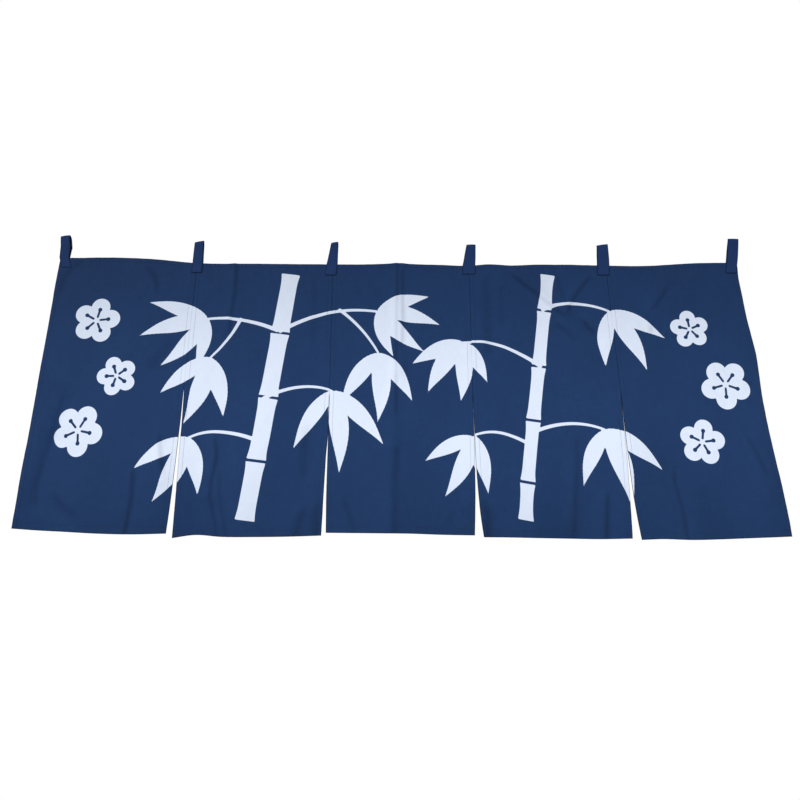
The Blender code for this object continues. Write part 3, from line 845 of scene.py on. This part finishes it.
def stitch_line(place, start, end, thread):
    """Stitches on a straight line between two flat places: their middles, ways and outward directions.

    Place gives the points of both faces for arrays of flat places. The way is from a point a little
    behind to one a little ahead, and outward is square to it and to the way across the line.
    """
    start, end = np.array(start), np.array(end)
    length = np.hypot(*(end - start))
    count = max(int(length / thread.pitch), 1)
    way = (end - start) / length
    middles = start + way * ((np.arange(count) + 0.5) * length / count)[:, None]
    step = thread.length / 2
    ahead, behind, beside = [place(*(middles + shift).T) for shift in
                             (way * step, -way * step, np.array([-way[1], way[0]]) * step)]
    found = []
    for face in (0, 1):
        middle = (ahead[face] + behind[face]) / 2
        along = ahead[face] - behind[face]
        out = np.cross(along, beside[face] - middle)
        away = middle - (ahead[1 - face] + behind[1 - face]) / 2
        out *= np.sign((out * away).sum(axis=1, keepdims=True))
        found.append((middle, along / np.linalg.norm(along, axis=1, keepdims=True),
                      out / np.linalg.norm(out, axis=1, keepdims=True)))
    return found


def stitch_mesh(name, stitches, thread):
    """Stitches as one mesh: each is a grain of two five-sided rings and two points that dive in."""
    middle, way, out = [np.concatenate(parts)[:, None, :] for parts in zip(*stitches)]
    side = np.cross(way, out)
    turn = 2 * math.pi * np.arange(5) / 5 + math.pi / 10
    ring_side = (np.cos(turn) * thread.radius)[None, :, None] * side
    ring_out = ((0.45 + np.sin(turn)) * thread.radius)[None, :, None] * out
    ring = middle + ring_side + ring_out
    shift = way * thread.length
    dip = out * thread.radius * 1.1
    points = np.concatenate([middle - shift * 0.5 - dip, ring - shift * 0.30,
                             ring + shift * 0.30, middle + shift * 0.5 - dip], axis=1)
    here = np.arange(5)
    after = (here + 1) % 5
    tail = np.stack([np.zeros(5, int), 1 + after, 1 + here], axis=-1)
    body = np.stack([1 + here, 1 + after, 6 + after], axis=-1)
    other = np.stack([1 + here, 6 + after, 6 + here], axis=-1)
    head = np.stack([np.full(5, 11), 6 + here, 6 + after], axis=-1)
    grain = np.concatenate([tail, body, other, head])
    faces = (grain[None] + 12 * np.arange(len(middle))[:, None, None]).reshape(-1, 3)
    return fill_mesh(name, points.reshape(-1, 3), faces)


def under_loop(points):
    """Which points lie under a loop's sewn ends."""
    under = np.zeros(len(points), dtype=bool)
    for tab in TABS:
        left, right = tab.left + min(tab.toe, 0.0), tab.right + max(tab.toe, 0.0)
        beside = (points[:, 0] > left - LOOP_MARGIN) & (points[:, 0] < right + LOOP_MARGIN)
        under |= beside & (points[:, 2] > smooth_line(TOP_EDGE, tab.left) - tab.sewn - LOOP_MARGIN)
    return under


def width_stitches(index, cloth, thread):
    """The stitches of a width's four hems, on both faces, but for those that a loop covers."""
    breadth, drop = width_size(index)
    inset = SEWN_END
    left, right = cloth.side_hem, breadth - cloth.side_hem
    top, foot = cloth.top_hem, drop - cloth.foot_hem
    lines = (
        ((left, inset), (left, drop - inset)),
        ((right, inset), (right, drop - inset)),
        ((inset, top), (breadth - inset, top)),
        ((inset, foot), (breadth - inset, foot)),
    )
    found = []
    for start, end in lines:
        for face in stitch_line(lambda a, d: cloth_points(index, a, d, cloth), start, end, thread):
            bare = ~under_loop(face[0])
            found.append([part[bare] for part in face])
    return found


def loop_stitches(tab, cloth, loop, thread):
    """The stitches that close a loop's strip along one side and box its two sewn ends."""
    length = loop_path(tab, cloth, loop)[1][-1]
    near, far = LOOP_EDGE_LINE / STRIP_WIDTH, 1 - LOOP_EDGE_LINE / STRIP_WIDTH
    low, high = LOOP_EDGE_LINE / length, (tab.sewn - SEWN_END) / length
    lines = (
        ((low, near), (1 - low, near)),
        ((low, far), (high, far)),
        ((1 - high, far), (1 - low, far)),
        ((low, near), (low, far)),
        ((high, near), (high, far)),
        ((1 - low, near), (1 - low, far)),
        ((1 - high, near), (1 - high, far)),
    )
    scale = np.array([length, STRIP_WIDTH])

    def place(run, over):
        """Both faces of the strip at lengths along and across it."""
        return loop_points(tab, run / length, over / STRIP_WIDTH, cloth, loop)

    return [stitch_line(place, start * scale, end * scale, thread)[0]
            for start, end in lines]


class ClothShader:
    """Builds a material's nodes one by one and keeps their order plain to read."""

    def __init__(self, name):
        self.material = bpy.data.materials.new(name)
        self.material.use_nodes = True
        self.tree = self.material.node_tree
        self.shader = self.tree.nodes["Principled BSDF"]

    def add(self, kind, inputs=None, **settings):
        """A new node with its settings and inputs, where a socket is linked and a value is set."""
        node = self.tree.nodes.new(kind)
        for name, value in settings.items():
            setattr(node, name, value)
        for name, value in (inputs or {}).items():
            self.feed(node.inputs[name], value)
        return node

    def feed(self, socket, value):
        """Links a socket to an input, or sets the input to a value."""
        if isinstance(value, bpy.types.NodeSocket):
            self.tree.links.new(value, socket)
        else:
            socket.default_value = value

    def work(self, operation, first, second=0.0):
        """The result of one step of arithmetic."""
        return self.add("ShaderNodeMath", {0: first, 1: second}, operation=operation).outputs[0]

    def spread(self, value, low, high, to_low, to_high):
        """A value carried from one range to another, and held at its ends."""
        inputs = {"Value": value, "From Min": low, "From Max": high, "To Min": to_low, "To Max": to_high}
        return self.add("ShaderNodeMapRange", inputs).outputs[0]

    def noise(self, place, stretch, detail=2.0):
        """Soft noise over a place that is stretched by so many lumps a metre each way."""
        scaled = self.add("ShaderNodeMapping", {"Vector": place, "Scale": stretch}).outputs[0]
        inputs = {"Vector": scaled, "Scale": 1.0, "Detail": detail, "Roughness": 0.55}
        return self.add("ShaderNodeTexNoise", inputs).outputs["Fac"]

    def mix(self, factor, first, second):
        """A colour between two."""
        node = self.add("ShaderNodeMix", data_type="RGBA")
        self.feed(node.inputs[0], factor)
        self.feed(node.inputs[6], first)
        self.feed(node.inputs[7], second)
        return node.outputs[2]

    def tint(self, colour, amount):
        """A colour made darker or lighter by a factor."""
        return self.add("ShaderNodeVectorMath", {0: colour, "Scale": amount}, operation="SCALE").outputs[0]

    def glow(self, roughness, sheen, tint):
        """The constant soft shine of cotton, set on the shader's own sockets."""
        self.shader.inputs["Metallic"].default_value = 0.0
        self.shader.inputs["IOR"].default_value = 1.45
        self.shader.inputs["Specular IOR Level"].default_value = 0.12
        self.shader.inputs["Sheen Weight"].default_value = sheen
        self.shader.inputs["Sheen Roughness"].default_value = 0.45
        self.shader.inputs["Sheen Tint"].default_value = (*tint, 1.0)
        self.feed(self.shader.inputs["Roughness"], roughness)


def cotton_material(name, colour, finish, print_share):
    """Plain-woven dyed cotton in metres of flat cloth.

    Warp and weft are two sines across each other, whose product lifts each thread in turn. Long noise
    along either way gives uneven threads, broad noise gives uneven dye, and the print's edge is the
    signed distance, made a little ragged. Print share is how much of the print shows on this side.
    Painted shade darkens the rims, for the shadow of the hem's edge, and the stitch grooves and creases,
    for the shade that lies in them.
    """
    cloth = ClothShader(name)
    place = cloth.add("ShaderNodeUVMap", uv_map="cloth").outputs[0]
    warp = cloth.noise(place, (1300.0, 34.0, 1.0))
    weft = cloth.noise(place, (30.0, 1300.0, 1.0))
    fuzz = cloth.noise(place, (2600.0, 2600.0, 1.0), 3.0)
    dye = cloth.noise(place, (7.0, 5.0, 1.0), 4.0)
    lumps = cloth.noise(place, (60.0, 45.0, 1.0), 2.0)
    uneven = cloth.work("ADD", cloth.spread(warp, 0.3, 0.7, -0.11, 0.11),
                        cloth.spread(weft, 0.3, 0.7, -0.10, 0.10))
    uneven = cloth.work("ADD", uneven, cloth.spread(dye, 0.25, 0.75, -0.07, 0.07))
    uneven = cloth.work("ADD", uneven, cloth.spread(lumps, 0.25, 0.75, -0.03, 0.03))
    # Painted shade: the rim distance darkens the edges for the hem's shadow, and the groove value darkens the
    # stitch grooves and creases for the shade in them
    rim = cloth.add("ShaderNodeAttribute", attribute_name="rim").outputs["Fac"]
    groove = cloth.add("ShaderNodeAttribute", attribute_name="groove").outputs["Fac"]
    painted_shade = cloth.work("MULTIPLY", cloth.spread(rim, 0.0, RIM_REACH, RIM_SHADE, 1.0),
                      cloth.spread(groove, 0.0, 1.0, 1.0, NAVY_SHADE))
    ground = cloth.tint(tuple(colour), cloth.work("MULTIPLY", cloth.work("ADD", uneven, 1.0), painted_shade))
    look = ground
    if print_share > 0.0:
        edge = cloth.add("ShaderNodeAttribute", attribute_name="print").outputs["Fac"]
        ragged = cloth.spread(fuzz, 0.3, 0.7, -0.00028, 0.00028)
        covered = cloth.spread(cloth.work("ADD", edge, ragged), -0.0003, 0.0003, print_share, 0.0)
        covered = cloth.work("MULTIPLY", covered, cloth.spread(rim, 0.0005, 0.0011, 0.0, 1.0))
        paint = cloth.spread(cloth.work("ADD", warp, weft), 0.7, 1.3, 0.955, 1.0)
        # The print takes uneven dye and the painted shade of the stitch grooves and creases
        shade_term = cloth.work("MULTIPLY", cloth.spread(dye, 0.25, 0.75, 0.965, 1.0),
                          cloth.spread(groove, 0.0, 1.0, 1.0, WHITE_SHADE))
        white = cloth.tint(tuple(finish.white), cloth.work("MULTIPLY", paint, shade_term))
        look = cloth.mix(covered, ground, white)
    cloth.feed(cloth.shader.inputs["Base Color"], look)
    parts = cloth.add("ShaderNodeSeparateXYZ", {0: place}).outputs
    turn = math.pi / finish.weave
    crossing = [cloth.work("SINE", cloth.work("ADD", cloth.work("MULTIPLY", part, turn),
                                              cloth.spread(other, 0.3, 0.7, -0.7, 0.7)))
                for part, other in ((parts[0], weft), (parts[1], warp))]
    weave = cloth.work("MULTIPLY", crossing[0], crossing[1])
    threads = cloth.work("ADD", cloth.spread(warp, 0.3, 0.7, -0.8, 0.8),
                         cloth.spread(weft, 0.3, 0.7, -0.8, 0.8))
    relief = cloth.work("ADD", cloth.work("MULTIPLY", weave, 0.6), cloth.work("MULTIPLY", threads, 0.55))
    relief = cloth.work("ADD", relief, cloth.spread(fuzz, 0.3, 0.7, -0.3, 0.3))
    bump = cloth.add("ShaderNodeBump", {"Strength": 0.5, "Distance": 0.00012, "Height": relief})
    cloth.feed(cloth.shader.inputs["Normal"], bump.outputs[0])
    cloth.glow(cloth.spread(cloth.work("ADD", fuzz, warp), 0.6, 1.4, 0.80, 0.94), 0.04, (0.55, 0.70, 1.0))
    return cloth.material


def thread_material(colour):
    """Twisted cotton thread: fine slanted bands over the object's own coordinates."""
    thread = ClothShader("navy_thread")
    place = thread.add("ShaderNodeTexCoord").outputs["Object"]
    bands = {"Vector": place, "Scale": 900.0, "Distortion": 2.0}
    twist = thread.add("ShaderNodeTexWave", bands, bands_direction="DIAGONAL")
    fade = thread.noise(place, (90.0, 90.0, 90.0))
    amount = thread.work("ADD", thread.spread(twist.outputs["Fac"], 0.0, 1.0, 0.72, 1.0),
                         thread.spread(fade, 0.3, 0.7, 0.0, 0.25))
    thread.feed(thread.shader.inputs["Base Color"], thread.tint(tuple(colour), amount))
    relief = {"Strength": 0.4, "Distance": 0.00005, "Height": twist.outputs["Fac"]}
    bump = thread.add("ShaderNodeBump", relief)
    thread.feed(thread.shader.inputs["Normal"], bump.outputs[0])
    thread.glow(thread.spread(fade, 0.3, 0.7, 0.62, 0.74), 0.12, (0.60, 0.72, 1.0))
    return thread.material


def floor_material(colour):
    """Pale matte floor paint with a faint cloudiness."""
    paint = ClothShader("floor_paint")
    place = paint.add("ShaderNodeTexCoord").outputs["Object"]
    cloud = paint.spread(paint.noise(place, (3.0, 3.0, 3.0), 4.0), 0.25, 0.75, 0.985, 1.0)
    paint.feed(paint.shader.inputs["Base Color"], paint.tint(tuple(colour), cloud))
    paint.glow(0.7, 0.0, (1.0, 1.0, 1.0))
    return paint.material


def place_piece(mesh, materials):
    """Puts a mesh into the scene as an object at the origin that rides on the curtain's one body."""
    for material in materials:
        mesh.materials.append(material)
    piece = bpy.data.objects.new(mesh.name, mesh)
    bpy.context.scene.collection.objects.link(piece)
    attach(piece, "root")
    return piece


class NOREN_OT_widths(bpy.types.Operator):
    """Makes the five widths of printed cotton"""

    bl_idname = "noren.widths"
    bl_label = "Widths"

    def execute(self, context):
        cloth, finish = context.scene.noren_cloth, context.scene.noren_finish
        front = cotton_material("navy_cotton_front", finish.navy, finish, 1.0)
        back = cotton_material("navy_cotton_back", finish.navy, finish, BACK_PRINT)
        for index, width in enumerate(WIDTHS):
            piece = place_piece(width_mesh(index, cloth), (front, back))
            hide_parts(width.node)
        return {"FINISHED"}


class NOREN_OT_loops(bpy.types.Operator):
    """Makes the six loops of folded cotton strip"""

    bl_idname = "noren.loops"
    bl_label = "Loops"

    def execute(self, context):
        scene, finish = context.scene, context.scene.noren_finish
        cotton = cotton_material("navy_loop_cotton", finish.loop_navy, finish, 0.0)
        for tab in TABS:
            piece = place_piece(loop_mesh(tab, scene.noren_cloth, scene.noren_loop), (cotton, cotton))
            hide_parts(tab.node)
        return {"FINISHED"}


class NOREN_OT_stitching(bpy.types.Operator):
    """Sews the hems and the loops"""

    bl_idname = "noren.stitching"
    bl_label = "Stitching"

    def execute(self, context):
        scene = context.scene
        cloth, thread = scene.noren_cloth, scene.noren_thread
        cotton = thread_material(scene.noren_finish.thread)
        for index, width in enumerate(WIDTHS):
            mesh = stitch_mesh(width.name + "_thread", width_stitches(index, cloth, thread), thread)
            piece = place_piece(mesh, (cotton,))
        for tab in TABS:
            stitches = loop_stitches(tab, cloth, scene.noren_loop, thread)
            piece = place_piece(stitch_mesh(tab.name + "_thread", stitches, thread), (cotton,))
        return {"FINISHED"}


class NOREN_OT_stage(bpy.types.Operator):
    """Sets the pale floor, the soft light and the camera"""

    bl_idname = "noren.stage"
    bl_label = "Stage"

    def execute(self, context):
        scene, stage = context.scene, context.scene.noren_stage
        self.lay_floor(scene, stage)
        self.light_room(scene, stage)
        camera = bpy.data.objects.new("camera", bpy.data.cameras.new("camera"))
        camera.data.lens = stage.lens
        camera.data.sensor_width = 36.0
        camera.location = stage.camera_place
        tilt, roll, turn = stage.camera_turn
        camera.rotation_euler = (math.pi / 2 + tilt, roll, turn)
        scene.collection.objects.link(camera)
        scene.camera = camera
        scene.view_settings.view_transform = "Standard"
        return {"FINISHED"}

    def lay_floor(self, scene, stage):
        """A round floor: rings of points, each at its radius times the cosine and sine of its turn."""
        radius, turn = np.meshgrid(np.linspace(0.0, 1.5, 9)[1:], np.linspace(0.0, 2 * math.pi, 97)[:-1])
        level = np.full(radius.shape, stage.floor_level)
        points = np.stack([radius * np.cos(turn), radius * np.sin(turn), level], axis=-1)
        grid = np.arange(radius.size).reshape(radius.shape)
        after = np.roll(grid, -1, axis=0)
        quads = np.stack([grid[:, :-1], grid[:, 1:], after[:, 1:], after[:, :-1]], axis=-1).reshape(-1, 4)
        mesh = bpy.data.meshes.new("floor")
        mesh.from_pydata(points.reshape(-1, 3).tolist(), [], [*quads.tolist(), grid[:, 0].tolist()])
        mesh.materials.append(floor_material(stage.floor))
        floor = bpy.data.objects.new("floor", mesh)
        scene.collection.objects.link(floor)

    def light_room(self, scene, stage):
        """Even light from all sides, white to the camera, two broad lights and a strip."""
        world = bpy.data.worlds.new("studio")
        world.use_nodes = True
        nodes, links = world.node_tree.nodes, world.node_tree.links
        nodes.clear()
        seen, lit = nodes.new("ShaderNodeBackground"), nodes.new("ShaderNodeBackground")
        seen.inputs["Color"].default_value = (1.0, 1.0, 1.0, 1.0)
        lit.inputs["Color"].default_value = (1.0, 1.0, 1.0, 1.0)
        lit.inputs["Strength"].default_value = stage.sky
        mix = nodes.new("ShaderNodeMixShader")
        links.new(nodes.new("ShaderNodeLightPath").outputs["Is Camera Ray"], mix.inputs[0])
        links.new(lit.outputs[0], mix.inputs[1])
        links.new(seen.outputs[0], mix.inputs[2])
        links.new(mix.outputs[0], nodes.new("ShaderNodeOutputWorld").inputs[0])
        scene.world = world
        self.hang_lamp(scene, "key_light", "SUN", stage.key, (-2.25, -3.0, 2.97), 0.6)
        self.hang_lamp(scene, "rear_light", "SUN", stage.rear, (2.0, 3.0, 1.5), 0.6)
        self.hang_lamp(scene, "strip_light", "AREA", stage.strip, (0.0, -0.5, -0.43), 2.6)

    def hang_lamp(self, scene, name, kind, strength, place, softness):
        """A lamp aimed at the curtain's middle. Softness is a broad light's angle or a strip's length."""
        lamp = bpy.data.objects.new(name, bpy.data.lights.new(name, kind))
        lamp.data.energy = strength
        if kind == "SUN":
            lamp.data.angle = softness
        else:
            lamp.data.shape = "RECTANGLE"
            lamp.data.size = softness
            lamp.data.size_y = softness / 9
        lamp.location = place
        aim = Vector((0.0, 0.0, -0.33)) - lamp.location
        lamp.rotation_euler = aim.to_track_quat("-Z", "Y").to_euler()
        scene.collection.objects.link(lamp)


class NOREN_PT_build(bpy.types.Panel):
    """Lists the steps that dress the curtain, with their sizes and colours"""

    bl_idname = "NOREN_PT_build"
    bl_label = "Noren Curtain"
    bl_space_type = "VIEW_3D"
    bl_region_type = "UI"
    bl_category = "Noren"

    def draw(self, context):
        for operator in OPERATORS:
            self.layout.operator(operator.bl_idname)
        for name, group in GROUPS.items():
            box = self.layout.box()
            for key in group.__annotations__:
                box.prop(getattr(context.scene, name), key)


OPERATORS = (NOREN_OT_widths, NOREN_OT_loops, NOREN_OT_stitching, NOREN_OT_stage)
GROUPS = {
    "noren_cloth": NorenClothSettings,
    "noren_loop": NorenLoopSettings,
    "noren_thread": NorenThreadSettings,
    "noren_finish": NorenFinishSettings,
    "noren_stage": NorenStageSettings,
}


def register():
    """Makes the groups, operators and panel known, and gives the scene its settings."""
    for kind in (*GROUPS.values(), *OPERATORS, NOREN_PT_build):
        bpy.utils.register_class(kind)
    for name, group in GROUPS.items():
        setattr(bpy.types.Scene, name, bpy.props.PointerProperty(type=group))


def unregister():
    """Takes the settings, panel, operators and groups away again."""
    for name in GROUPS:
        delattr(bpy.types.Scene, name)
    for kind in (NOREN_PT_build, *reversed(OPERATORS), *reversed(list(GROUPS.values()))):
        bpy.utils.unregister_class(kind)


def main():
    """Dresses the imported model."""
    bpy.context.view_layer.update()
    register()
    bpy.ops.noren.widths()
    bpy.ops.noren.loops()
    bpy.ops.noren.stitching()
    bpy.ops.noren.stage()


if __name__ == "__main__":
    main()
